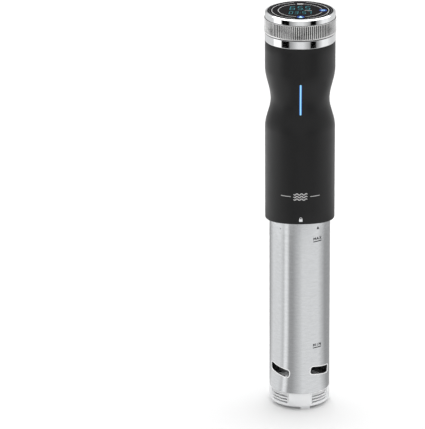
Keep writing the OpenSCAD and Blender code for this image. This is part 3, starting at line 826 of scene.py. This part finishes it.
@dataclass
class Head:
    """The polished rings and the knurled dial between them."""

    columns: int = 256
    ribs: int = 104
    rib_columns: int = 8
    rib_depth: float = 0.55 * MM
    edges: tuple[float, float] = (1.2 * MM, 0.45 * MM)
    core: float = 30.95 * MM

    def build(self) -> None:
        """Makes the lower ring, the dial and the display's bezel."""
        self._trim_ring()
        self._dial()
        self._bezel()

    def _trim_ring(self) -> None:
        """A plain polished band with eased edges."""
        low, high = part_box("lower_trim_ring")
        top, base = high.z, low.z + 0.15 * MM
        outline = rounded([(self.core, base, 0), (high.x, base, 0.2 * MM), (high.x, base + 0.5 * MM, 0),
                           (high.x, top - 0.6 * MM, 0), (high.x, top, 0.3 * MM), (self.core, top, 0)])
        skin = Skin().turned(outline, around(self.columns))
        skin.piece("trim_band", Look.POLISHED_RING, "main", ["lower_trim_ring"])

    def _dial(self) -> None:
        """The knurled ring.

        Between two plain edges the radius is dial_r - depth (1 - cos(ribs bearing)) / 2.
        """
        low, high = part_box("dial_ring")
        plain = high.x - 0.1 * MM
        lower, upper = (
            np.array([[self.core, 0, 0], [plain - 0.35 * MM, 0, 0], [plain - 0.08 * MM, 0.12 * MM, 0],
                      [plain, 0.3 * MM, 0], [plain, edge, 0], [high.x, edge + 0.15 * MM, 1]])
            for edge in self.edges)
        middle = (low.z + high.z) / 2
        lower += [0, low.z, 0]
        upper = upper * [1, -1, 1] + [0, high.z, 0]
        rows = np.concatenate([lower, [[high.x, middle, 1]], upper[::-1]])
        bearings = around(self.ribs * self.rib_columns)
        groove = (1 - np.cos(self.ribs * bearings)) / 2
        radius = rows[:, :1] - rows[:, 2:] * self.rib_depth * groove[None, :]
        skin = Skin().grid(polar(radius, bearings[None, :], rows[:, 1:2]), across=True, along=True)
        skin.piece("knurled_dial", Look.KNURLED_RING, "dial", ["dial_ring"], 50)

    def _bezel(self) -> None:
        """A polished upright band with a sloping lip round the glass."""
        low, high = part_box("display_bezel")
        inner, brow = 31.35 * MM, high.z - 0.85 * MM
        lip, under = inner - 0.5 * MM, high.z - 0.04 * MM
        outline = rounded([(inner, low.z, 0), (high.x, low.z, 0.25 * MM), (high.x, low.z + 0.5 * MM, 0),
                           (high.x, brow - 0.5 * MM, 0), (high.x, brow, 0.3 * MM),
                           (lip + 0.25 * MM, high.z, 0.1 * MM), (lip, high.z, 0), (lip, under, 0),
                           (inner, under, 0)])
        skin = Skin().turned(outline, around(self.columns))
        skin.piece("bezel_band", Look.POLISHED_RING, "main", ["display_bezel"])


SEGMENTS = {"0": "abcdef", "3": "abcdg", "5": "acdfg", "6": "acdefg", "7": "abc"}


@dataclass
class Display:
    """The glass with its lit digits, keys and printed rings."""

    ring_width: float = 0.5 * MM
    inner_ring: float = 20.8 * MM
    outer_ring: float = 26.9 * MM
    key_radius: float = 3.5 * MM
    key_place: float = 21.5 * MM
    slant: float = 0.10

    def __post_init__(self) -> None:
        """Reads where the glass is."""
        self.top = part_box("display_bezel")[1].z - 0.06 * MM
        self.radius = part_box("display_lens")[1].x

    def lay(self, flat: np.ndarray, lift: float) -> np.ndarray:
        """Puts flat places (right, back) onto the glass."""
        return np.concatenate([flat, np.full(flat.shape[:-1] + (1,), self.top + lift)], -1)

    def build(self) -> None:
        """Makes the glass and everything that shows in it."""
        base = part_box("display_lens")[0].z
        glass = np.array([[0, base], [self.radius, base], [self.radius, self.top - 0.05 * MM],
                          [self.radius - 0.05 * MM, self.top], [0, self.top]])
        skin = Skin().turned(glass, around(192), closed=False)
        skin.piece("display_pane", Look.DISPLAY_GLASS, "main", ["display_lens"])
        self._rings()
        self._keys()
        self._digits("65.5", (0.0, 7.6 * MM), 12 * MM, 4.9 * MM, 7.2 * MM, 0.41 * MM,
                     "temperature_digits")
        self._digits("03:57", (-0.2 * MM, -7.6 * MM), 8.4 * MM, 3.7 * MM, 5.05 * MM, 0.31 * MM,
                     "time_digits")

    def _plate(self, skin: Skin, sheet: np.ndarray, high: float = PRINTED) -> None:
        """Adds one thin plate that is sunk into the glass."""
        skin.slab(sheet, self.lay, high)

    def _rings(self) -> None:
        """Fine printed arcs with gaps for the keys and labels."""
        skin = Skin()
        half = self.ring_width / 2
        for start, end in ((-78, 78), (102, 258)):
            self._plate(skin, stroke(arc((0, 0), self.outer_ring, start, end, 72), half))
        for start, end in ((11, 78), (102, 258), (-78, -11)):
            self._plate(skin, stroke(arc((0, 0), self.inner_ring, start, end, 48), half))
        skin.piece("printed_rings", Look.PALE_PRINT, "main")
        faint = Skin()
        for start, end in ((0, 180), (180, 360)):
            self._plate(faint, stroke(arc((0, 0), 29.5 * MM, start, end, 96), 0.12 * MM))
        faint.piece("faint_ring", Look.FAINT_PRINT, "main")
        label = Skin()
        self._plate(label, oblong((0.3 * MM, self.inner_ring + 0.2 * MM), 6.0 * MM, 2.4 * MM, 0.6 * MM))
        self._plate(label, oblong((7.4 * MM, -0.4 * MM), 6.6 * MM, 0.6 * MM, 0.2 * MM))
        label.piece("label_bars", Look.PALE_PRINT, "main")

    def _keys(self) -> None:
        """Two lit touch keys, at the front and at the right, each with its sign."""
        keys = Skin()
        for x, y in ((self.key_place, 0.0), (0.0, -self.key_place)):
            bearings = around(48)
            outline = np.array([[0, SUNK], [self.key_radius, SUNK],
                                [self.key_radius, PRINTED], [0, PRINTED]])
            ring = polar(outline[:, :1], bearings[None, :], self.top + outline[:, 1:])
            keys.grid(ring + [x, y, 0], across=True)
        keys.piece("key_lights", Look.KEY_LIGHT, "main")
        signs = Skin()
        side = 1.35 * MM
        arrow = np.array([[[-2.0, -2.3], [2.0, -2.3]], [[-0.05, 2.3], [0.05, 2.3]]]) * MM
        self._plate(signs, arrow + [0.0, -self.key_place], RAISED)
        self._plate(signs, stroke(arc((self.key_place, 0.0), side, -240, 60, 24), 0.3 * MM), RAISED)
        stem = np.array([[0.0, 0.3], [0.0, 2.1]]) * MM + [self.key_place, 0.0]
        self._plate(signs, stroke(stem, 0.3 * MM), RAISED)
        signs.piece("key_signs", Look.ICON_LIGHT, "main")

    def _digits(self, text: str, middle: tuple[float, float], height: float, width: float, pitch: float,
                half: float, name: str) -> None:
        """Seven-segment figures.

        A segment is a short bar pointed at both ends. Every place then leans: x grows by slant y.

        Args:
            text: figures, with "." or ":" between them where needed.
            middle: centre of the row.
            height: height of a figure.
            width: width of a figure.
            pitch: distance from one figure to the next.
            half: half the width of a segment.
            name: the piece's name.
        """
        figures = [mark for mark in text if mark in SEGMENTS]
        colon = 0.45 * pitch if ":" in text else 0.0
        w, h = width / 2 - half, height / 2 - half
        ends = {"a": ((-w, h), (w, h)), "b": ((w, h), (w, 0)), "c": ((w, 0), (w, -h)),
                "d": ((-w, -h), (w, -h)), "e": ((-w, 0), (-w, -h)), "f": ((-w, h), (-w, 0)),
                "g": ((-w, 0), (w, 0))}
        place = -pitch * (len(figures) - 1) / 2 - colon / 2
        skin = Skin()
        lean = np.array([[1.0, 0.0], [self.slant, 1.0]])
        halves = np.array([0.04, 1.0, 1.0, 0.04]) * half
        for mark in text:
            if mark in SEGMENTS:
                for segment in SEGMENTS[mark]:
                    a, b = (np.array(end) for end in ends[segment])
                    along = (b - a) / np.linalg.norm(b - a)
                    gap, tip = 0.12 * half, half
                    line = np.array([a + along * gap, a + along * (gap + tip), b - along * (gap + tip),
                                     b - along * gap])
                    self._plate(skin, (stroke(line, halves) + [place, 0]) @ lean + middle)
                place += pitch
                continue
            dots = (-0.5, 0.5) if mark == ":" else (-1.0,)
            where = place - pitch / 2 + (0.5 * colon if colon else 0.0)
            for level in dots:
                centre = (where, level * h * (0.75 if colon else 1.0))
                dot = oblong(centre, 1.9 * half, 1.9 * half, 0.5 * half)
                self._plate(skin, dot @ lean + middle)
            place += colon
        skin.piece(name, Look.DIGIT_LIGHT, "main")


@dataclass
class Tube:
    """The steel tube with its water slots and level marks."""

    wall: float = 0.8 * MM
    slot_height: float = 39.1 * MM
    slot_half: tuple[float, float] = (11.9 * MM, 3.65 * MM)
    slot_corner: float = 2.4 * MM
    slot_tilt: float = -10.0
    columns: int = 288
    mark_bearing: float = 35.0
    high_mark: float = 174.2 * MM
    low_mark: float = 64.3 * MM

    def lay(self, flat: np.ndarray, lift: float) -> np.ndarray:
        """Wraps flat places (distance round from the front, height) onto the tube."""
        return polar(self.radius + lift, flat[..., 0] / self.radius, flat[..., 1])

    def build(self) -> None:
        """Makes the tube and its marks."""
        low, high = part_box("steel_tube")
        self.radius = high.x
        heights = np.concatenate([np.linspace(low.z, 30 * MM, 5)[:-1], np.arange(30, 48, 0.75) * MM,
                                  np.linspace(48 * MM, high.z, 14)])
        bearings = around(self.columns)
        windows = [Cutout(rad(at), self.slot_height, *self.slot_half, self.slot_corner, rad(self.slot_tilt))
                   for at in (-135, -45, 45, 135)]
        radius = self._radius_at
        skin = Skin()
        skin.windowed(bearings, heights, radius, windows,
                      [(0.28 * MM, 0.0), (0.08 * MM, 0.07 * MM), (0.0, 0.25 * MM), (0.0, self.wall)])
        skin.windowed(bearings, heights, radius, windows, [(0.0, 0.0)], inset=self.wall)
        for height in (heights[0], heights[-1]):
            edge = np.array([[self.radius, height], [self.radius - self.wall, height]])
            skin.turned(edge, bearings, closed=False)
        skin.piece("tube_wall", Look.BRUSHED_TUBE, "tube", ["steel_tube"])
        self._paint_slot_highlights(bearings, heights, windows)
        self._marks()

    def _radius_at(self, height: np.ndarray) -> np.ndarray:
        """The tube's radius, the same at every height."""
        return np.full_like(np.asarray(height, dtype=float), self.radius)

    def _paint_slot_highlights(self, bearings: np.ndarray, heights: np.ndarray, windows: list[Cutout]) -> None:
        """A painted highlight round every slot: a flat near-white ring that follows the slot's outline, for
        the light that the steel's edge catches.
        """
        skin = Skin()
        for window in windows:
            border = window.border(bearings, heights, self._radius_at, MM)
            rows = [window.ring(border, self._radius_at, grow * MM, -lift)
                    for grow, lift in ((0.25, SUNK), (0.92, SUNK), (0.90, PRINTED), (0.27, PRINTED))]
            skin.grid(np.stack(rows), across=True, along=True)
        # the rings carry a painted highlight, not the steel's own colour
        skin.piece("slot_rims", Look.CUT_EDGE, "tube")

    def _marks(self) -> None:
        """The pointer under the rim and the two water levels with their words."""
        skin = Skin()
        letters = {"M": [[(0, 0), (0, 1), (0.5, 0.35), (1, 1), (1, 0)]],
                   "A": [[(0, 0), (0.5, 1), (1, 0)], [(0.2, 0.35), (0.8, 0.35)]],
                   "X": [[(0, 0), (1, 1)], [(0, 1), (1, 0)]],
                   "I": [[(0.5, 0), (0.5, 1)]],
                   "N": [[(0, 0), (0, 1), (1, 0), (1, 1)]]}
        middle = rad(self.mark_bearing) * self.radius
        for word, level in (("MAX", self.high_mark), ("MIN", self.low_mark)):
            line = np.linspace([middle - 4.85 * MM, level], [middle + 4.85 * MM, level], 16)
            skin.slab(stroke(line, 0.45 * MM), self.lay, RAISED)
            for number, letter in enumerate(word):
                corner = np.array([middle + (number - 1) * 3.3 * MM - 1.15 * MM, level + 1.45 * MM])
                for path in letters[letter]:
                    line = np.array(path) * [2.3 * MM, 2.8 * MM] + corner
                    for a, b in zip(line[:-1], line[1:]):
                        skin.slab(stroke(np.array([a, b]), 0.34 * MM), self.lay, RAISED)
        across = np.linspace(-1.6 * MM, 1.6 * MM, 7)
        foot = np.full(7, -1.4 * MM)
        tip = np.stack([np.stack([across, foot], -1), np.stack([across * 0.02, -1.1 * foot], -1)])
        skin.slab(tip + [rad(35.5) * self.radius, 187.9 * MM], self.lay, RAISED)
        skin.piece("level_marks", Look.ETCHED, "tube")
        faint = Skin().slab(tip * 0.4 + [rad(-40) * self.radius, 186.6 * MM], self.lay, RAISED)
        faint.piece("faint_pointer", Look.FAINT_PRINT, "tube")


@dataclass
class RearClip:
    """The lever that grips the pot and its pad; the hinge pin, spring and bracket keep the frame's own
    shapes.
    """

    half_width: float = 17 * MM
    corner: float = 1.6 * MM
    wall: float = 1.75 * MM
    foot: float = 129.0
    top: float = 342.5
    pocket: tuple[float, float] = (152.0, 338.0)
    pocket_fade: float = 8.0
    rows: int = 150

    def build(self) -> None:
        """Makes the lever and the pad."""
        self._lever()
        self._pad()

    def _lever(self) -> None:
        """The lever: a channel whose section follows the height.

        The back and the front run straight between given places, in millimetres. At each height the
        section is a rounded channel, open towards the casing, and its depth sinks to 0 at the jaw
        and at the thumb end.
        """
        back = np.array([[46.6, 342.5], [48.8, 341.5], [50.2, 338], [49.9, 330], [48.4, 319], [46.6, 308],
                         [46.2, 298], [47.4, 286], [49.6, 275], [50.4, 265], [50.3, 256], [49, 243],
                         [46.6, 228], [43.9, 212], [42.2, 200], [42.3, 190], [44.6, 178], [47.8, 166],
                         [50, 154], [50.5, 144], [49, 135.5], [45.5, 130.5], [41, 129]])[::-1]
        front = np.array([[38, 129], [35.5, 129.4], [33.4, 131], [33, 133], [33, 150], [34.2, 153.5],
                          [36.6, 160], [37.8, 170], [37.6, 182], [37, 196], [37.2, 215], [38, 235],
                          [38.4, 250], [38.4, 274], [39.8, 284], [40, 298], [41, 310], [43, 322],
                          [44, 332], [44.4, 339], [45.2, 341.6], [46.4, 342.5]])
        turn = np.linspace(0, np.pi, self.rows)
        share = 0.35 * (1 - np.cos(turn)) / 2 + 0.65 * np.linspace(0, 1, self.rows)
        heights = self.foot + (self.top - self.foot) * share
        y_back = np.interp(heights, back[:, 1], back[:, 0])
        y_front = np.interp(heights, front[:, 1], front[:, 0])
        hollow = (np.clip((heights - self.pocket[0]) / self.pocket_fade, 0, 1)
                  * np.clip((self.pocket[1] - heights) / self.pocket_fade, 0, 1))
        thick = y_back - y_front
        depth = np.maximum(thick - self.wall / MM, 0.0) * hollow
        corner = np.minimum(self.corner / MM, thick * 0.45)
        half = self.half_width / MM
        inner = half - self.wall / MM
        end = np.minimum(1, np.sqrt(np.clip((heights - self.foot) / 3, 0, 1)) * 0.25 + 0.75)
        end *= np.minimum(1, np.sqrt(np.clip((self.top - heights) / 3, 0, 1)) * 0.25 + 0.75)
        t = np.linspace(0, np.pi / 2, 5)
        columns = []
        for side in (-1, 1):
            turns = t if side < 0 else t[::-1]
            for angle in turns:
                columns.append((side * (half * end - corner * (1 - np.sin(np.pi / 2 - angle))),
                                y_back - corner * (1 - np.sin(angle))))
        columns += [(half * end, y_front + 0.5), (half * end - 0.5, y_front), (inner * end + 0.3, y_front),
                    (inner * end, y_front + np.minimum(0.3, depth)), (inner * end, y_front + depth)]
        columns += [(inner * end * share, y_front + depth) for share in (0.5, 0, -0.5)]
        columns += [(-inner * end, y_front + depth), (-inner * end, y_front + np.minimum(0.3, depth)),
                    (-inner * end - 0.3, y_front), (-half * end + 0.5, y_front),
                    (-half * end, y_front + 0.5)]
        section = [np.stack([x + 0 * heights, y + 0 * heights, heights], -1) for x, y in columns]
        points = np.stack(section, axis=1) * MM
        centre = points.mean(axis=1, keepdims=True)
        ends = [np.broadcast_to(centre[row], points[row].shape)[None] for row in (0, -1)]
        skin = Skin().grid(np.concatenate([ends[0], points, ends[1]]), across=True)
        skin.piece("lever", Look.SOFT_TOUCH, "clip", ["clip_lever"], 40)

    def _pad(self) -> None:
        """The grip pad: its face towards the pot is (1 + cos(2 pi z / pitch)) / 2 times the rib height."""
        low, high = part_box("jaw_pad")
        z = np.linspace(low.z, high.z, 97)
        rib = 0.35 * MM * (1 + np.cos(2 * np.pi * (z - low.z) / (2.0 * MM))) / 2
        x = np.array([low.x, low.x + 0.4 * MM, 0, high.x - 0.4 * MM, high.x])
        front = np.broadcast_to(low.y + rib[:, None], (len(z), len(x))).copy()
        front[:, [0, -1]] += 0.4 * MM
        face = np.stack(np.broadcast_arrays(x[None, :], front, z[:, None]), -1)
        rear = face.copy()
        rear[..., 1] = high.y
        skin = Skin().grid(face).grid(rear[:, ::-1])
        skin.grid(np.stack([perimeter(rear), perimeter(face)]), across=True)
        skin.piece("grip_pad", Look.RUBBER, "clip", ["jaw_pad"])


class FramePieces:
    """What keeps the frame's own shapes: the outer ones smoothed, the inner ones as they are."""

    SMOOTHED = ("bottom_cap", "foot_pads", "cap_screws", "cord_gland", "clip_bracket", "bracket_screws",
                "clip_pin", "clip_spring", "impeller_housing", "impeller", "dial_glide", "tube_collar",
                "bayonet_socket", "temperature_probe", "heater_coil", "shaft_guide", "drive_shaft")

    def build(self) -> None:
        """Gives every node that still shows the finish of its slot."""
        looks = {look.slot: look for look in Look}
        for part in frame["record"]["subparts"]:
            node = frame["nodes"][part["node"]]
            if node.hide_render:
                continue
            look = looks[part["material_slot"]]
            if node.name in self.SMOOTHED:
                copy = smooth_copy(node.name, look)
                copy.visible_shadow = look not in (Look.CLEAR_GREY, Look.SOFT_CLEAR)
                continue
            node.data.materials.clear()
            node.data.materials.append(look.look)
            LOG.info("%s: frame shape in %s", node.name, look.slot)


# ---------------------------------------------------------------- studio

@dataclass(frozen=True)
class Panel:
    """A soft panel of the studio as upright metal mirrors it, or a dark flag where its light is negative.

    Bearings are in degrees on the metal. The light is even within half_width of the middle and fades
    to nothing over fade beyond that.
    """

    middle: float
    half_width: float
    light: float
    fade: float

    def bends(self) -> tuple[float, ...]:
        """The four bearings where its light starts and stops changing."""
        inner, outer = self.half_width, self.half_width + self.fade
        return self.middle - outer, self.middle - inner, self.middle + inner, self.middle + outer

    def at(self, bearing: float) -> float:
        """Its light at a bearing."""
        return float(self.light * np.interp(bearing, self.bends(), (0, 1, 1, 0)))


@dataclass(frozen=True)
class Reflector:
    """A ring that lies on the floor and shows only in reflections.

    Upright metal sees the floor at a distance that grows with its height, so a ring of its own
    lights each metal piece. Its light depends on the bearing alone.
    """

    name: str
    inner: float
    outer: float
    base: float
    panels: tuple[Panel, ...]

    def levels(self) -> list[tuple[float, float]]:
        """Every bearing where the light bends, with the base and the panels' lights added up there."""
        bearings = {-90, 90}.union(*(panel.bends() for panel in self.panels))
        return [(bearing, max(self.base + sum(panel.at(bearing) for panel in self.panels), 0.0))
                for bearing in sorted(bearings) if abs(bearing) <= 90]

    def build(self) -> None:
        """Makes the ring.

        Metal seen from the front at a bearing b mirrors the floor at bearing 2 b, so that is where
        the light of its bearing goes.
        """
        shader = Shader(self.name)
        x, y, _ = shader.axes()
        turn = x.math("ARCTAN2", 0 - y) / (2 * math.pi) + 0.5
        levels = self.levels()
        peak = max(light for _, light in levels)
        stops = [(bearing / 180 + 0.5, light / peak) for bearing, light in levels]
        light = shader.ramp(turn, stops)
        glow = shader.node("ShaderNodeEmission", inputs={"Color": light, "Strength": peak})
        shader.node("ShaderNodeOutputMaterial", inputs={"Surface": glow})
        rim = np.array([[self.outer, 0.5 * MM], [self.inner, 0.5 * MM]])
        mesh = Skin().turned(rim, around(180), closed=False).mesh(self.name)
        mesh.materials.append(shader.material)
        ring = put(self.name, mesh)
        for kind in ("camera", "diffuse", "shadow", "transmission", "volume_scatter"):
            setattr(ring, "visible_" + kind, False)


TUBE_PANELS = (Panel(-48, 10, 0.45, 16), Panel(-25, 2, 0.50, 4), Panel(20, 15, 0.45, 18))
BODY_PANELS = (Panel(-55, 10, 1.10, 40), Panel(55, 10, 0.70, 40))
RING_PANELS = (Panel(-57, 24, 0.40, 2), Panel(-40, 7, 0.55, 2), Panel(-25, 6, -0.35, 2),
               Panel(0, 4, 0.50, 12), Panel(21, 4, -0.35, 2), Panel(44, 6, 0.65, 10),
               Panel(70, 10, 0.40, 8))


@dataclass
class Studio:
    """Floor, light and camera."""

    reflectors: tuple[Reflector, ...] = (Reflector("tube_reflector", 0.03, 0.56, 0.40, TUBE_PANELS),
                                         Reflector("body_reflector", 0.57, 1.10, 0.30, BODY_PANELS),
                                         Reflector("ring_reflector", 1.11, 8.0, 0.35, RING_PANELS))
    floor_radius: float = 14.0
    low_sky: float = 0.60
    high_sky: float = 0.85
    card: float = 0.10
    fill_power: float = 0.6
    sun_power: float = 2.8
    sun_elevation: float = 68.0
    sun_bearing: float = -8.0
    sun_softness: float = 70.0
    aim_height: float = 203.9 * MM
    camera_distance: float = 3.1
    camera_elevation: float = 20.0
    camera_bearing: float = -1.0
    lens: float = 270.3
    aim_right: float = 1.552
    aim_up: float = 0.200
    roll: float = 0.14

    def build(self) -> None:
        """Makes the floor, the sky, the sun, the reflectors and the camera."""
        self._floor()
        self._lights()
        for reflector in self.reflectors:
            reflector.build()
        self._camera()
        bpy.context.scene.view_settings.view_transform = "Standard"

    def _floor(self) -> None:
        """A wide pale disc at height 0."""
        mesh = bpy.data.meshes.new("floor")
        rim = polar(self.floor_radius, around(64), 0.0)
        mesh.from_pydata(rim.tolist(), [], [list(range(64))])
        mesh.materials.append(Look.PALE_FLOOR.look)
        put("floor", mesh)

    def _lights(self) -> None:
        """A sky with a dark card behind the stick, a soft sun from behind and a fill from the front.

        The glass mirrors the card, so it looks dark. The fill makes no highlights.
        """
        sky = Shader("studio", world=True)
        direction = sky.node("ShaderNodeTexCoord").output("Generated")
        height = sky.node("ShaderNodeSeparateXYZ", inputs={0: direction}).output("Z")
        towards = (0.0, math.cos(rad(self.camera_elevation)), math.sin(rad(self.camera_elevation)))
        facing = sky.node("ShaderNodeVectorMath", {"operation": "DOT_PRODUCT"}, {0: direction, 1: towards})
        open_sky = sky.ramp(height, [(0.25, self.low_sky), (0.50, self.high_sky)])
        light = sky.mix(facing.output("Value").between(0.965, 0.99), open_sky, (self.card,) * 3)
        background = sky.node("ShaderNodeBackground", inputs={"Color": light, "Strength": 1.0})
        sky.node("ShaderNodeOutputWorld", inputs={"Surface": background})
        bpy.context.scene.world = sky.material
        self._sun("key", self.sun_power, -(90 - self.sun_elevation), self.sun_bearing)
        self._sun("fill", self.fill_power, 72.0, 8.0).visible_glossy = False

    def _sun(self, name: str, power: float, tilt: float, turn: float) -> bpy.types.Object:
        """Adds a soft sun that is tilted about X, then turned about Z, both in degrees."""
        sun = bpy.data.lights.new(name, "SUN")
        sun.energy = power
        sun.angle = rad(self.sun_softness)
        lamp = put(name, sun)
        lamp.rotation_euler = (rad(tilt), 0.0, rad(turn))
        return lamp

    def _camera(self) -> None:
        """A long lens that looks a little to the left of the stick, so that it stands at the right."""
        camera = put("camera", bpy.data.cameras.new("camera"))
        camera.data.lens = self.lens
        camera.data.sensor_width = 36.0
        camera.data.clip_end = 100.0
        rise, turn = rad(self.camera_elevation), rad(self.camera_bearing)
        back = Vector((math.sin(turn) * math.cos(rise), -math.cos(turn) * math.cos(rise), math.sin(rise)))
        look = (-back).to_track_quat("-Z", "Y").to_matrix().to_4x4()
        aside = (Matrix.Rotation(rad(self.aim_right), 4, "Y") @ Matrix.Rotation(-rad(self.aim_up), 4, "X")
                 @ Matrix.Rotation(rad(self.roll), 4, "Z"))
        stand = Matrix.Translation(Vector((0, 0, self.aim_height)) + back * self.camera_distance)
        camera.matrix_world = stand @ look @ aside
        bpy.context.scene.camera = camera


def main() -> None:
    """Builds the object and the studio."""
    logging.basicConfig(level=logging.INFO, format="%(message)s")
    for part in (Casing(), Head(), Display(), Tube(), RearClip(), FramePieces(), Studio()):
        LOG.info("== %s", type(part).__name__)
        part.build()


if __name__ == "__main__":
    main()
